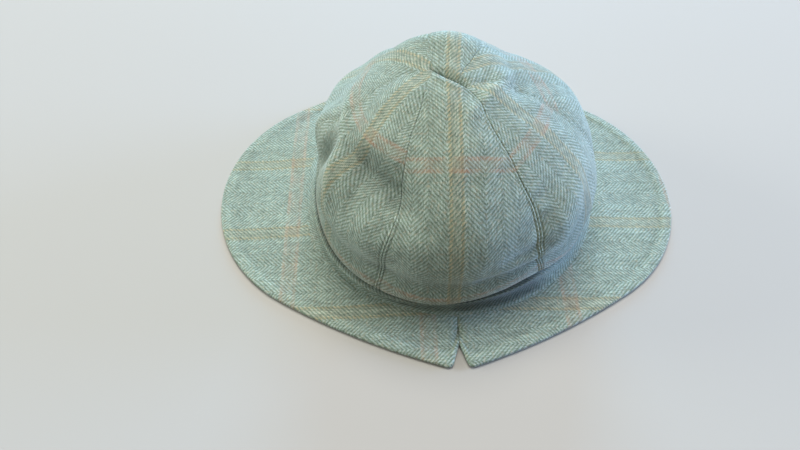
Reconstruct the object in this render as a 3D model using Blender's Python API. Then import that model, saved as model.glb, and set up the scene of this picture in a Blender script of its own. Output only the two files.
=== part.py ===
# A deerstalker hat in herringbone tweed, resting on its brim.
# Six gores make a round crown, a low band carries it, and two crescent peaks meet in a notch at each side.
# Sizes are in metres. +X is the front, +Y the wearer's left and +Z up.
# The origin is on the surface under the middle of the brim.
import math

import bmesh
import bpy
from mathutils import Matrix, Vector

# Cloth and the hair's breadth that sewn pieces keep between them
CLOTH = 0.002
SEAM_GAP = 0.0003

# Peaks
PEAK_THICKNESS = 0.003
PEAK_LENGTH = 0.061
PEAK_SIDE_WIDTH = 0.0355
PEAK_ARCH = 0.002
NOSE_RADIUS = 0.105
NOSE_TURN = math.radians(58)
NOTCH_DEPTH = 0.016
NOTCH_MOUTH = 0.011
NOTCH_CORNER_RADIUS = 0.0035

# Band
BAND_FOOT_RADIUS = 0.104
BAND_HEIGHT = 0.012

# Crown
CROWN_SEAM_RADIUS = 0.0935
CROWN_RADIUS = 0.0965
CROWN_HEIGHT = 0.096
CROWN_WIDEST_HEIGHT = 0.030
CROWN_TIP_RADIUS = 0.003
CROWN_FOOT_X = -0.001
CROWN_FOOT_Y = -0.009
CROWN_TOP_X = -0.002
CROWN_TOP_Y = 0.002
PANEL_PUFF = 0.0025
PUFF_AT_FOOT = 0.12
SHOULDER_POWER = 1.15

# The crown's seams, in degrees: where each stands on the band, how far it bows to the left of that on the way
# up, and how far the crease on top pulls its tip. Each gore runs from its own seam to the next.
CROWN_SEAMS = (
    # azimuth, bow, tip pull
    (0.0, -3.0, -38.0),
    (60.0, -6.0, -12.0),
    (120.0, 0.0, -10.0),
    (180.0, 0.0, -32.0),
    (238.5, 4.0, -66.0),
    (302.5, -4.0, -5.0),
)

# Soft folds and dents of the crown. Azimuth and turn are in degrees, a turn of 0 running level.
# Rise is the share of the way up from the band, and the last three are shares of the crown's radius.
CROWN_FOLDS = (
    # azimuth, rise, turn, half length, half width, lift
    (142.0, 1.00, 90.0, 0.13, 0.050, -0.090),
    (80.0, 0.82, 0.0, 0.38, 0.18, 0.060),
    (15.0, 0.45, 0.0, 0.50, 0.30, 0.032),
    (188.0, 0.25, 0.0, 0.55, 0.28, -0.085),
    (150.0, 0.55, 0.0, 0.35, 0.22, -0.045),
    (243.0, 0.40, 90.0, 0.30, 0.12, -0.030),
    (318.0, 0.18, 35.0, 0.26, 0.08, -0.022),
)

# Mesh steps
PROFILE_STEPS = 16
PANEL_STEPS = 11
BAND_STEPS = 66
NOTCH_STEPS = 3
CORNER_STEPS = 5
SIDE_STEPS = 9
NOSE_STEPS = 9
PEAK_ROWS = (0.0, 0.4, 0.75, 1.0)
EDGE_ANGLES = (-60, -30, 0, 30, 60)
WIDEST_RISE = 0.25
NORMAL_STEP = 0.01
SHARP_ANGLE = math.radians(40)
FOLDS_FREE_FROM = 0.15
TIP_PULL_FROM = 0.70
TIP_PULL_TO = 0.97
TIP_PULL_POWER = 2.2
FLAT_ROW = 0.75

# Places that follow from the sizes
PEAK_INNER_RADIUS = BAND_FOOT_RADIUS + SEAM_GAP
BRIM_TOP = PEAK_ARCH + PEAK_THICKNESS
BAND_TOP = BRIM_TOP + BAND_HEIGHT
CROWN_FOOT = BAND_TOP + SEAM_GAP
FOOT_SHIFT = Vector((CROWN_FOOT_X, CROWN_FOOT_Y, 0.0))
TOP_SHIFT = Vector((CROWN_TOP_X, CROWN_TOP_Y, 0.0))

TWEED = (0.36, 0.44, 0.35, 1.0)
TWEED_BAND = (0.30, 0.38, 0.31, 1.0)
TWEED_ROUGHNESS = 0.95


def clear_scene():
    for item in list(bpy.data.objects):
        bpy.data.objects.remove(item, do_unlink=True)


def cloth_material(name, color):
    material = bpy.data.materials.new(name)
    material.use_nodes = True
    shader = material.node_tree.nodes["Principled BSDF"]
    shader.inputs["Base Color"].default_value = color
    shader.inputs["Roughness"].default_value = TWEED_ROUGHNESS
    shader.inputs["Metallic"].default_value = 0.0
    material.diffuse_color = color
    return material


def closed_grid(name, columns, material, joined):
    """A solid from section loops: neighbouring columns are bridged, and open ends are capped."""
    mesh = bmesh.new()
    loops = [[mesh.verts.new(point) for point in column] for column in columns]
    pairs = list(zip(loops, loops[1:]))
    if joined:
        pairs.append((loops[-1], loops[0]))
    else:
        mesh.faces.new(loops[0])
        mesh.faces.new(reversed(loops[-1]))
    count = len(loops[0])
    for one, other in pairs:
        for i in range(count):
            j = (i + 1) % count
            mesh.faces.new((one[j], one[i], other[i], other[j]))
    bmesh.ops.recalc_face_normals(mesh, faces=mesh.faces)
    data = bpy.data.meshes.new(name)
    mesh.to_mesh(data)
    mesh.free()
    data.materials.append(material)
    data.shade_smooth()
    data.set_sharp_from_angle(angle=SHARP_ANGLE)
    item = bpy.data.objects.new(name, data)
    bpy.context.scene.collection.objects.link(item)
    return item


def polar(radius, azimuth, height=0.0):
    return Vector((radius * math.cos(azimuth), radius * math.sin(azimuth), height))


def arc_from(start, heading, end, steps):
    """Points after start on the arc that leaves it along heading and passes through end."""
    chord = end - start
    turn = 2 * heading.angle_signed(chord)
    points = []
    for step in range(1, steps + 1):
        share = step / steps
        swing = turn * share / 2
        if abs(turn) > 1e-6:
            reach = chord.length * math.sin(swing) / math.sin(turn / 2)
        else:
            reach = chord.length * share
        away = heading.normalized()
        away.rotate(Matrix.Rotation(-swing, 2))
        points.append(start + away * reach)
    return points


def side_edge(corner, steps):
    """The nose arc's end and the long arc from it to the notch's corner, in the quarter with +X and +Y."""
    middle = Vector((BAND_FOOT_RADIUS + PEAK_LENGTH - NOSE_RADIUS, 0.0))
    start = middle + NOSE_RADIUS * Vector((math.cos(NOSE_TURN), math.sin(NOSE_TURN)))
    heading = Vector((-math.sin(NOSE_TURN), math.cos(NOSE_TURN)))
    return start, arc_from(start, heading, corner, steps)


def quarter_edge():
    """A quarter of a peak's edge from above, from the foot of the notch to the tip of the nose."""
    reach = BAND_FOOT_RADIUS + PEAK_SIDE_WIDTH
    foot = Vector((SEAM_GAP / 2, reach - NOTCH_DEPTH))
    corner = Vector((NOTCH_MOUTH / 2, reach))
    side = side_edge(corner, SIDE_STEPS)[1]
    up = (foot - corner).normalized()
    along = (side[-2] - corner).normalized()
    half_angle = up.angle(along) / 2
    tangent = NOTCH_CORNER_RADIUS / math.tan(half_angle)
    middle = corner + (up + along).normalized() * NOTCH_CORNER_RADIUS / math.sin(half_angle)
    first = corner + up * tangent
    last = corner + along * tangent
    edge = [foot.lerp(first, step / NOTCH_STEPS) for step in range(NOTCH_STEPS + 1)]
    begin = math.atan2(*(first - middle).yx)
    sweep = (first - middle).angle_signed(last - middle)
    for step in range(1, CORNER_STEPS + 1):
        angle = begin - sweep * step / CORNER_STEPS
        edge.append(middle + NOTCH_CORNER_RADIUS * Vector((math.cos(angle), math.sin(angle))))
    nose_end, side = side_edge(last, SIDE_STEPS)
    edge += list(reversed(side[:-1])) + [nose_end]
    nose = BAND_FOOT_RADIUS + PEAK_LENGTH - NOSE_RADIUS
    for step in range(1, NOSE_STEPS + 1):
        angle = NOSE_TURN * (1 - step / NOSE_STEPS)
        edge.append(Vector((nose + NOSE_RADIUS * math.cos(angle), NOSE_RADIUS * math.sin(angle))))
    return edge


def arch(row):
    """How far a peak has risen off the surface at a share of its width from the band."""
    way = min(1.0, row / FLAT_ROW)
    return PEAK_ARCH * (1 - way * way * (3 - 2 * way))


def peak_section(edge, outward, rounding, inner):
    """One section of a peak: underside out, round the edge, and back over the top."""
    half = PEAK_THICKNESS / 2
    rim = edge - outward * rounding
    section = []
    for row in PEAK_ROWS:
        section.append(inner.lerp(rim, row).to_3d() + Vector((0, 0, arch(row))))
    for angle in EDGE_ANGLES:
        swing = math.radians(angle)
        spot = rim + outward * rounding * math.cos(swing)
        section.append(spot.to_3d() + Vector((0, 0, half + half * math.sin(swing))))
    for row in reversed(PEAK_ROWS):
        lift = arch(row) + PEAK_THICKNESS
        section.append(inner.lerp(rim, row).to_3d() + Vector((0, 0, lift)))
    return section


def make_peak(name, facing, material):
    """A crescent peak towards +X, or towards -X where facing is -1."""
    quarter = quarter_edge()
    edge = quarter + [Vector((p.x, -p.y)) for p in reversed(quarter[:-1])]
    last = len(edge) - 1
    columns = []
    for i, point in enumerate(edge):
        along = edge[min(i + 1, last)] - edge[max(i - 1, 0)]
        outward = Vector((-along.y, along.x)).normalized()
        from_end = min(i, last - i)
        rounding = PEAK_THICKNESS / 2 * min(1.0, from_end / NOTCH_STEPS)
        inner = point.normalized() * PEAK_INNER_RADIUS
        if from_end == 0:
            level = math.copysign(math.sqrt(PEAK_INNER_RADIUS**2 - point.x**2), point.y)
            inner = Vector((point.x, level))
        section = peak_section(point, outward, rounding, inner)
        columns.append([Vector((facing * p.x, facing * p.y, p.z)) for p in section])
    return closed_grid(name, columns, material, joined=False)


def profile(rise):
    """The crown's radius and height over its foot at a share of the way up, before any fold."""
    if rise < WIDEST_RISE:
        below = 1 - rise / WIDEST_RISE
        radius = CROWN_RADIUS - (CROWN_RADIUS - CROWN_SEAM_RADIUS) * below**2
        return radius, CROWN_WIDEST_HEIGHT * (1 - below)
    angle = (rise - WIDEST_RISE) / (1 - WIDEST_RISE) * math.pi / 2
    across = max(0.0, math.cos(angle)) ** SHOULDER_POWER
    up = math.sin(angle) ** SHOULDER_POWER
    radius = CROWN_TIP_RADIUS + (CROWN_RADIUS - CROWN_TIP_RADIUS) * across
    return radius, CROWN_WIDEST_HEIGHT + (CROWN_HEIGHT - CROWN_WIDEST_HEIGHT) * up


def crown_base(azimuth, rise):
    """A point of the plain dome and the way out of it."""
    radius, height = profile(rise)
    low = profile(max(0.0, rise - NORMAL_STEP))
    high = profile(min(1.0, rise + NORMAL_STEP))
    outward = polar(high[1] - low[1], azimuth, low[0] - high[0]).normalized()
    shift = FOOT_SHIFT.lerp(TOP_SHIFT, height / CROWN_HEIGHT)
    return shift + polar(radius, azimuth, CROWN_FOOT + height), outward


def fold_frames():
    """Each fold's middle, its level and upward ways in the cloth, and its sizes in metres."""
    frames = []
    for azimuth, rise, turn, half_length, half_width, lift in CROWN_FOLDS:
        angle = math.radians(azimuth)
        middle, outward = crown_base(angle, rise)
        level = Vector((-math.sin(angle), math.cos(angle), 0.0))
        upward = outward.cross(level)
        swing = math.radians(turn)
        along = level * math.cos(swing) + upward * math.sin(swing)
        across = outward.cross(along)
        sizes = [CROWN_RADIUS * share for share in (half_length, half_width, lift)]
        frames.append((middle, along, across, outward, *sizes))
    return frames


def fold_lift(point, frames):
    total = 0.0
    for middle, along, across, outward, half_length, half_width, lift in frames:
        away = point - middle
        far = (away.dot(along) / half_length) ** 2
        far += (away.dot(across) / half_width) ** 2
        far += (away.dot(outward) / half_length) ** 2
        total += lift * math.exp(-far)
    return total


def panel_puff(share, rise):
    """How far a gore swells between its seams, least at the band and nothing at the tip."""
    way_up = PUFF_AT_FOOT + (1 - PUFF_AT_FOOT) * rise
    return PANEL_PUFF * math.sin(math.pi * share) * math.sin(math.pi * way_up)


def seam_azimuth(number, rise):
    """Where a seam runs at a share of the way up, in radians. A number past the last goes round again."""
    turns, row = divmod(number, len(CROWN_SEAMS))
    azimuth, bow, tip_pull = CROWN_SEAMS[row]
    near_tip = min(1.0, max(0.0, (rise - TIP_PULL_FROM) / (TIP_PULL_TO - TIP_PULL_FROM)))
    bowed = math.sin(math.pi * min(1.0, rise / TIP_PULL_TO))
    return math.radians(azimuth + 360 * turns + bow * bowed + tip_pull * near_tip**TIP_PULL_POWER)


def make_panel(number, frames, material):
    """One gore, from its own seam to the next."""
    columns = []
    for row in range(PROFILE_STEPS + 1):
        rise = row / PROFILE_STEPS
        radius = profile(rise)[0]
        clear = math.asin(SEAM_GAP / 2 / radius)
        start = seam_azimuth(number, rise) + clear
        width = seam_azimuth(number + 1, rise) - clear - start
        outside = []
        inside = []
        for step in range(PANEL_STEPS + 1):
            share = step / PANEL_STEPS
            azimuth = start + width * share
            point, outward = crown_base(azimuth, rise)
            held = min(1.0, rise / FOLDS_FREE_FROM)
            lift = held * fold_lift(point, frames) + panel_puff(share, rise)
            outside.append(point + outward * lift)
            inside.append(point + outward * (lift - CLOTH))
        columns.append(outside + inside[::-1])
    return closed_grid(f"crown_panel_{number + 1}", columns, material, joined=False)


def make_band(material):
    """The low band: upright where the peaks are sewn to it, then leaning in to the crown's foot."""
    columns = []
    for step in range(BAND_STEPS):
        azimuth = 2 * math.pi * step / BAND_STEPS
        foot = polar(BAND_FOOT_RADIUS, azimuth, PEAK_ARCH)
        bend = polar(BAND_FOOT_RADIUS, azimuth, BRIM_TOP)
        top = FOOT_SHIFT + polar(CROWN_SEAM_RADIUS, azimuth, BAND_TOP)
        inward = -polar(1.0, azimuth)
        lean = (top - bend).dot(inward) / BAND_HEIGHT
        wall = inward * CLOTH * math.sqrt(1 + lean**2)
        outside = [foot, bend, top]
        columns.append(outside + [top + wall, bend + wall, foot + wall])
    return closed_grid("band", columns, material, joined=True)


def main():
    clear_scene()
    tweed = cloth_material("tweed", TWEED)
    band_tweed = cloth_material("tweed_band", TWEED_BAND)
    frames = fold_frames()
    for number in range(len(CROWN_SEAMS)):
        make_panel(number, frames, tweed)
    make_band(band_tweed)
    make_peak("front_peak", 1, tweed)
    make_peak("rear_peak", -1, tweed)


main()
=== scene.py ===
import math

import bmesh
import bpy
import numpy as np
from mathutils import Matrix, Vector, noise


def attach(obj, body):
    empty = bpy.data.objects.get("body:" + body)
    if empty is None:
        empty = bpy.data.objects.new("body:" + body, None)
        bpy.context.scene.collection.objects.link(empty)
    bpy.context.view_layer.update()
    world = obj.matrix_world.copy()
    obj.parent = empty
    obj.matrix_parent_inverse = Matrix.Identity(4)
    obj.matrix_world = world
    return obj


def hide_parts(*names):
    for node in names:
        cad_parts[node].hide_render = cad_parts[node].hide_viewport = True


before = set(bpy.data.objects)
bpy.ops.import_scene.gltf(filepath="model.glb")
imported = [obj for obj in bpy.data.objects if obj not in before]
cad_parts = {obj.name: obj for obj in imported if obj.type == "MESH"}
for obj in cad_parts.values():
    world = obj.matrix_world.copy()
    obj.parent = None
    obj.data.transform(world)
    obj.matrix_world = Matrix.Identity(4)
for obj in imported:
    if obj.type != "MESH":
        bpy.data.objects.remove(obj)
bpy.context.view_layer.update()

# Sizes of the part, as its source has them
CLOTH = 0.002
PEAK_THICKNESS = 0.003
PEAK_LENGTH = 0.061
PEAK_SIDE_WIDTH = 0.0355
PEAK_ARCH = 0.002
NOSE_RADIUS = 0.105
NOSE_TURN = math.radians(58)
NOTCH_DEPTH = 0.016
NOTCH_MOUTH = 0.011
NOTCH_CORNER_RADIUS = 0.0035
BAND_FOOT_RADIUS = 0.104
BAND_HEIGHT = 0.012
CROWN_SEAM_RADIUS = 0.0935
CROWN_RADIUS = 0.0965
CROWN_HEIGHT = 0.096
CROWN_WIDEST_HEIGHT = 0.030
PANEL_PUFF = 0.0025
PUFF_AT_FOOT = 0.12
SHOULDER_POWER = 1.15
WIDEST_RISE = 0.25
FOLDS_FREE_FROM = 0.15
FLAT_ROW = 0.75
BRIM_TOP = PEAK_ARCH + PEAK_THICKNESS
BAND_TOP = BRIM_TOP + BAND_HEIGHT
SOLID_GAP = 0.0003
CROWN_FOOT = BAND_TOP + SOLID_GAP
FOOT_SHIFT = np.array((-0.001, -0.009, 0.0))
TOP_SHIFT = np.array((-0.002, 0.002, 0.0))
TIP_SHIFT = np.array((-0.0114, 0.0021, 0.0))

# Finer sizes that only show here
SEAM_GAP = 0.00004
TIP_RADIUS = 0.0006
TIP_MOVES_FROM = 0.60
TIP_MOVES_OVER = 0.30
RISE_STEP = 0.01
UP = np.array((0.0, 0.0, 1.0))

# The crown's seams: their azimuths in degrees at these shares of the way up
SEAM_RISES = np.array((0.00, 0.28, 0.48, 0.62, 0.76, 0.84, 0.90, 1.00))
CROWN_SEAMS = np.array((
    (0.0, -4.0, -8.0, -7.0, -6.0, -19.0, -30.0, -40.0),
    (60.0, 59.0, 57.0, 52.0, 43.0, 26.0, -2.0, -30.0),
    (120.0, 118.0, 112.0, 104.0, 97.0, 93.0, 93.0, 95.0),
    (180.0, 178.0, 176.0, 186.0, 183.0, 178.0, 174.0, 168.0),
    (238.5, 241.5, 244.0, 241.0, 243.0, 249.0, 250.0, 246.0),
    (305.5, 302.0, 302.0, 300.5, 306.5, 319.0, 322.0, 318.0),
))
# How strongly each seam and its stitching show
SEAM_SHOWS = (0.20, 0.60, 0.20, 0.12, 0.90, 1.00)
# The seams that run into the crease on top: the row above, the share of the way up at which the
# seam joins it, and the degrees off the crease's floor
SEAMS_IN_CREASE = ((5, 0.862, -2.0), (0, 0.872, 0.0), (1, 0.918, 2.0))

# The foot of the crown by azimuth in degrees: how far it stands out, how far it is drawn up, how
# strongly the cloth above it is tucked in, and how far the top of the band stands out with it
CROWN_HEM = np.array((
    (0.0, 0.0016, 0.0, 0.0, 0.0),
    (20.0, 0.0006, 0.0, 0.0, 0.0),
    (45.0, 0.0, 0.0, 0.0, 0.0),
    (150.0, 0.0, 0.0, 0.0, 0.0002),
    (170.0, -0.0006, 0.0, 0.0, 0.0002),
    (185.0, -0.0012, 0.0, 0.0, 0.0),
    (202.0, -0.0012, 0.0, 0.0, 0.0012),
    (216.0, 0.0006, 0.0, 0.3, 0.0032),
    (230.0, 0.0020, 0.0, 0.7, 0.0044),
    (246.0, 0.0024, 0.0, 1.0, 0.0030),
    (262.0, 0.0022, 0.0008, 1.0, 0.0008),
    (274.0, 0.0010, 0.0036, 1.1, 0.0),
    (288.0, 0.0, 0.0072, 1.3, 0.0),
    (301.0, -0.0004, 0.0084, 1.2, 0.0),
    (310.0, 0.0002, 0.0052, 0.6, 0.0),
    (318.0, 0.0010, 0.0020, 0.2, 0.0),
    (330.0, 0.0018, 0.0002, 0.3, 0.0),
    (345.0, 0.0024, 0.0, 0.1, 0.0),
    (360.0, 0.0016, 0.0, 0.0, 0.0),
))

# Soft folds of the crown: azimuth in degrees, share of the way up, turn in degrees, and half
# length, half width and lift as shares of the crown's radius. The main folds are the solid's own.
MAIN_FOLDS = (
    (80.0, 0.82, 0.0, 0.38, 0.18, 0.100),
    (15.0, 0.45, 0.0, 0.50, 0.30, 0.032),
    (188.0, 0.25, 0.0, 0.55, 0.28, -0.085),
    (150.0, 0.55, 0.0, 0.35, 0.22, -0.045),
    (243.0, 0.40, 90.0, 0.30, 0.12, -0.012),
    (318.0, 0.18, 35.0, 0.26, 0.08, -0.022),
)
FINE_FOLDS = (
    # The outline at the far side
    (18.0, 0.70, 0.0, 0.42, 0.20, -0.030),
    (21.0, 0.50, 0.0, 0.30, 0.16, -0.008),
    (124.0, 0.68, 0.0, 0.18, 0.13, -0.022),
    (112.0, 0.66, 0.0, 0.17, 0.13, -0.042),
    (143.0, 0.46, 0.0, 0.16, 0.12, 0.016),
    (172.0, 0.44, 80.0, 0.16, 0.10, 0.034),
    (158.0, 0.70, 0.0, 0.25, 0.14, -0.005),
    # The dent at the left with its ridges
    (192.0, 0.13, 0.0, 0.36, 0.16, -0.034),
    (192.0, 0.450, 80.0, 0.160, 0.095, -0.085),
    (187.0, 0.61, 158.0, 0.22, 0.050, 0.042),
    (210.0, 0.43, 120.0, 0.24, 0.050, 0.046),
    (222.0, 0.54, 118.0, 0.18, 0.070, -0.026),
    (204.0, 0.26, 100.0, 0.20, 0.090, 0.030),
    # The valley across the left seam, and the swelling under it
    (230.0, 0.565, 166.0, 0.34, 0.100, -0.078),
    (240.0, 0.37, 8.0, 0.36, 0.130, 0.036),
    (275.0, 0.62, 60.0, 0.20, 0.080, -0.012),
    (222.0, 0.46, 118.0, 0.16, 0.060, -0.016),
    (262.0, 0.24, 4.0, 0.34, 0.075, -0.010),
    (287.0, 0.22, 25.0, 0.26, 0.150, -0.020),
    # The right side
    (343.0, 0.15, 0.0, 0.42, 0.17, 0.030),
    (295.0, 0.30, 8.0, 0.16, 0.045, -0.016),
    (290.0, 0.23, 8.0, 0.18, 0.045, 0.012),
    (320.0, 0.26, 38.0, 0.24, 0.060, -0.011),
    (319.0, 0.42, 30.0, 0.26, 0.100, 0.032),
    (291.0, 0.39, 8.0, 0.22, 0.140, -0.006),
    (347.0, 0.79, -24.0, 0.28, 0.050, 0.030),
    (7.0, 0.74, 0.0, 0.24, 0.060, -0.026),
    (338.0, 0.68, -60.0, 0.22, 0.060, -0.018),
)


# Camera, at the angle the photograph was taken from
CAMERA_PLACE = (-0.0420, -0.3041, 0.3674)
CAMERA_TILT = math.radians(37.0)
CAMERA_TURN = math.radians(-1.54)
CAMERA_LENS = 28.8
SENSOR_WIDTH = 36.0
NEAREST_SEEN = 0.01


def add_object(name, data):
    item = bpy.data.objects.new(name, data)
    bpy.context.scene.collection.objects.link(item)
    return item


def make_camera():
    data = bpy.data.cameras.new("camera")
    data.lens = CAMERA_LENS
    data.sensor_width = SENSOR_WIDTH
    data.clip_start = NEAREST_SEEN
    camera = add_object("camera", data)
    camera.location = CAMERA_PLACE
    camera.rotation_euler = (CAMERA_TILT, 0.0, CAMERA_TURN)
    bpy.context.scene.camera = camera


# Shapes
def ease(share):
    share = np.clip(share, 0.0, 1.0)
    return share * share * (3 - 2 * share)


def bell(away, width):
    return np.exp(-((away / width) ** 2))


def polar(radius, azimuth, height):
    flat = np.broadcast_arrays(radius * np.cos(azimuth), radius * np.sin(azimuth), height)
    return np.stack(flat, axis=-1)


def unit(vectors):
    return vectors / np.linalg.norm(vectors, axis=-1, keepdims=True)


def profile(rise):
    """The crown's radius and height over its foot at a share of the way up, before any fold."""
    rise = np.asarray(rise, dtype=float)
    below = np.maximum(0.0, 1 - rise / WIDEST_RISE)
    angle = np.clip((rise - WIDEST_RISE) / (1 - WIDEST_RISE), 0.0, 1.0) * math.pi / 2
    across = np.maximum(0.0, np.cos(angle)) ** SHOULDER_POWER
    up = np.sin(angle) ** SHOULDER_POWER
    low = CROWN_RADIUS - (CROWN_RADIUS - CROWN_SEAM_RADIUS) * below**2
    high = TIP_RADIUS + (CROWN_RADIUS - TIP_RADIUS) * across
    radius = np.where(rise < WIDEST_RISE, low, high)
    risen = CROWN_WIDEST_HEIGHT + (CROWN_HEIGHT - CROWN_WIDEST_HEIGHT) * up
    return radius, np.where(rise < WIDEST_RISE, CROWN_WIDEST_HEIGHT * (1 - below), risen)


def rise_at(radius):
    """The share of the way up at which the plain dome has a radius."""
    across = np.clip((radius - TIP_RADIUS) / (CROWN_RADIUS - TIP_RADIUS), 0.0, 1.0)
    angle = np.arccos(across ** (1 / SHOULDER_POWER))
    return WIDEST_RISE + (1 - WIDEST_RISE) * angle / (math.pi / 2)


def crown_base(azimuth, rise):
    """Points of the plain dome, the way out of it, and the azimuth and rise about its own middle.

    The gores' meeting point is moved along the dome, away from its middle.
    """
    rise = np.asarray(rise, dtype=float)
    moved = TIP_SHIFT * ease((rise - TIP_MOVES_FROM) / TIP_MOVES_OVER)[..., None]
    level = polar(profile(rise)[0], azimuth, 0.0) + moved
    azimuth = np.arctan2(level[..., 1], level[..., 0])
    rise = np.where(rise < TIP_MOVES_FROM, rise, rise_at(np.hypot(level[..., 0], level[..., 1])))
    radius, height = profile(rise)
    low = profile(np.maximum(0.0, rise - RISE_STEP))
    high = profile(np.minimum(1.0, rise + RISE_STEP))
    outward = unit(polar(high[1] - low[1], azimuth, low[0] - high[0]))
    shift = FOOT_SHIFT + (TOP_SHIFT - FOOT_SHIFT) * (height / CROWN_HEIGHT)[..., None]
    return shift + polar(radius, azimuth, CROWN_FOOT + height), outward, azimuth, rise


def fold_lift(points, folds):
    total = np.zeros(points.shape[:-1])
    for azimuth, rise, turn, half_length, half_width, lift in folds:
        angle = math.radians(azimuth)
        middle, outward = crown_base(np.float64(angle), np.float64(rise))[:2]
        level = np.array((-math.sin(angle), math.cos(angle), 0.0))
        upward = np.cross(outward, level)
        swing = math.radians(turn)
        along = level * math.cos(swing) + upward * math.sin(swing)
        across = np.cross(outward, along)
        away = points - middle
        far = (away @ along / (CROWN_RADIUS * half_length)) ** 2
        far += (away @ across / (CROWN_RADIUS * half_width)) ** 2
        far += (away @ outward / (CROWN_RADIUS * half_length)) ** 2
        total += CROWN_RADIUS * lift * np.exp(-far)
    return total


# The crease on top: the near gore ends in a crisp edge, and the far gores roll down to it
CREASE_START = np.array((-0.0155, 0.0065, 0.0))
CREASE_END = np.array((0.0055, -0.0104, 0.0))
CREASE_LENGTH = np.linalg.norm(CREASE_END - CREASE_START)
CREASE_ALONG = (CREASE_END - CREASE_START) / CREASE_LENGTH
CREASE_ACROSS = np.cross(UP, CREASE_ALONG)
CREASE_BOW = 0.0016
CREASE_PIT = 0.0060
CREASE_PIT_WIDTH = 0.0013
CREASE_DEPTH = 0.0032
CREASE_NEAR = 0.0009
CREASE_FAR = 0.0085
CREASE_LIP = 0.0009
CREASE_LIP_AWAY = 0.0032
CREASE_LIP_WIDTH = 0.0026
# It opens shallow at its start, deepens further on, and closes at its end
CREASE_SHALLOW = 0.25
CREASE_OPENS_OVER = 0.004
CREASE_OPENS_BY = 0.5
CREASE_DEEPENS_FROM = 0.0035
CREASE_DEEPENS_OVER = 0.006
CREASE_CLOSES_OVER = 0.009
CREASE_CLOSES_BY = 0.35


def crease_bow(along):
    return CREASE_BOW * np.sin(math.pi * np.clip(along / CREASE_LENGTH, 0.0, 1.0))


def crease_lift(points):
    away = (points - CREASE_START) * np.array((1.0, 1.0, 0.0))
    along = away @ CREASE_ALONG
    side = away @ CREASE_ACROSS + crease_bow(along)
    far_side = CREASE_DEPTH * (1 - np.clip(side / CREASE_FAR, 0.0, 1.0)) ** 2
    far_side = far_side + CREASE_PIT * np.exp(-np.maximum(0.0, side) / CREASE_PIT_WIDTH)
    near_side = (CREASE_DEPTH + CREASE_PIT) * (1 - ease(-side / CREASE_NEAR))
    opens = CREASE_SHALLOW * ease(along / CREASE_OPENS_OVER + CREASE_OPENS_BY)
    deepens = (1 - CREASE_SHALLOW) * ease((along - CREASE_DEEPENS_FROM) / CREASE_DEEPENS_OVER)
    closes = ease((CREASE_LENGTH - along) / CREASE_CLOSES_OVER + CREASE_CLOSES_BY)
    lip = CREASE_LIP * bell(side + CREASE_LIP_AWAY, CREASE_LIP_WIDTH)
    return (lip - np.where(side > 0, far_side, near_side)) * ((opens + deepens) * closes)


def through(places, knots, values):
    """A smooth curve through the values at the knots."""
    slopes = np.gradient(values, knots)
    right = np.clip(np.searchsorted(knots, places, side="right"), 1, len(knots) - 1)
    left = right - 1
    span = knots[right] - knots[left]
    t = (places - knots[left]) / span
    start = values[left] * (1 + 2 * t) * (1 - t) ** 2 + slopes[left] * span * t * (1 - t) ** 2
    return start + values[right] * t * t * (3 - 2 * t) + slopes[right] * span * t * t * (t - 1)


def crease_azimuth(radius):
    """The direction from the gores' meeting point to the crease's floor at a distance from it."""
    tip = TOP_SHIFT + TIP_SHIFT
    along = (tip - CREASE_START) @ CREASE_ALONG + radius
    spot = CREASE_START + along[..., None] * CREASE_ALONG - crease_bow(along)[..., None] * CREASE_ACROSS
    away = spot - tip
    return np.degrees(np.arctan2(away[..., 1], away[..., 0]))


LAST_SEAM = len(CROWN_SEAMS) - 1
JOINS_OVER = 0.035
JOINS_OUTSIDE = 0.0015


def seam_azimuth(number, rise):
    turns, row = divmod(number, len(CROWN_SEAMS))
    rise = np.asarray(rise, dtype=float)
    azimuth = through(rise, SEAM_RISES, CROWN_SEAMS[row])
    for seam, joins, off in SEAMS_IN_CREASE:
        if seam == row:
            floor = crease_azimuth(np.maximum(JOINS_OUTSIDE, profile(rise)[0])) + off
            if row == LAST_SEAM:
                floor = floor + 360
            azimuth = azimuth + (floor - azimuth) * ease((rise - joins + JOINS_OVER) / JOINS_OVER)
    return np.radians(azimuth + 360 * turns)


# Lengths up a gore at shares of its rise
RISES = np.linspace(0.0, 1.0, 801)
RADII, HEIGHTS = profile(RISES)
CLIMB = np.concatenate(([0.0], np.cumsum(np.hypot(np.diff(RADII), np.diff(HEIGHTS)))))

# A seam is a groove with a low ridge either side, a sewn row beside that, and soft puckers
SEAM_DEPTH = 0.0006
SEAM_ROUND = 0.00045
SEAM_HELD = 0.45
SEAM_FREE_FROM = 0.050
SEAM_FREE_OVER = 0.025
SEAM_RIDGE = 0.0004
SEAM_RIDGE_AWAY = 0.0009
SEAM_RIDGE_WIDTH = 0.0006
STITCH_AWAY = 0.0019
STITCH_DEPTH = 0.0007
STITCH_WIDTH = 0.00055
STITCH_STEP = 0.0034
STITCH_SWING = 0.35
STITCH_EASES_BY = 0.7
PUCKER = 0.00026
PUCKER_AWAY = 0.006
PUCKER_WIDTH = 0.0045
PUCKER_STEP = 0.0021
PUCKER_DRIFT = 2.2
PUCKER_DRIFT_STEP = 0.013
# Where a seam softens on its way up, and where it ends under the tip
SEAM_SOFTENS_FROM = 0.42
SEAM_SOFTENS_OVER = 0.25
SEAM_SOFTENS_BY = 0.5
SEAM_ENDS_AT = 0.95
SEAM_ENDS_OVER = 0.08
SEAM_ENDS_WIDTH = 0.008

# The hem at the crown's foot: its rounding, how far it swells, and the tuck above it
HEM_ROUND = 0.0011
HEM_ROUND_HEIGHT = 0.0006
HEM_SWELLS_TO = 0.0125
HEM_SWELLS_OVER = 0.0085
HEM_TUCK = 0.0030
HEM_TUCK_HEIGHT = 0.0175
HEM_TUCK_WIDTH = 0.0080
HEM_DRAWN = 0.030
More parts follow.
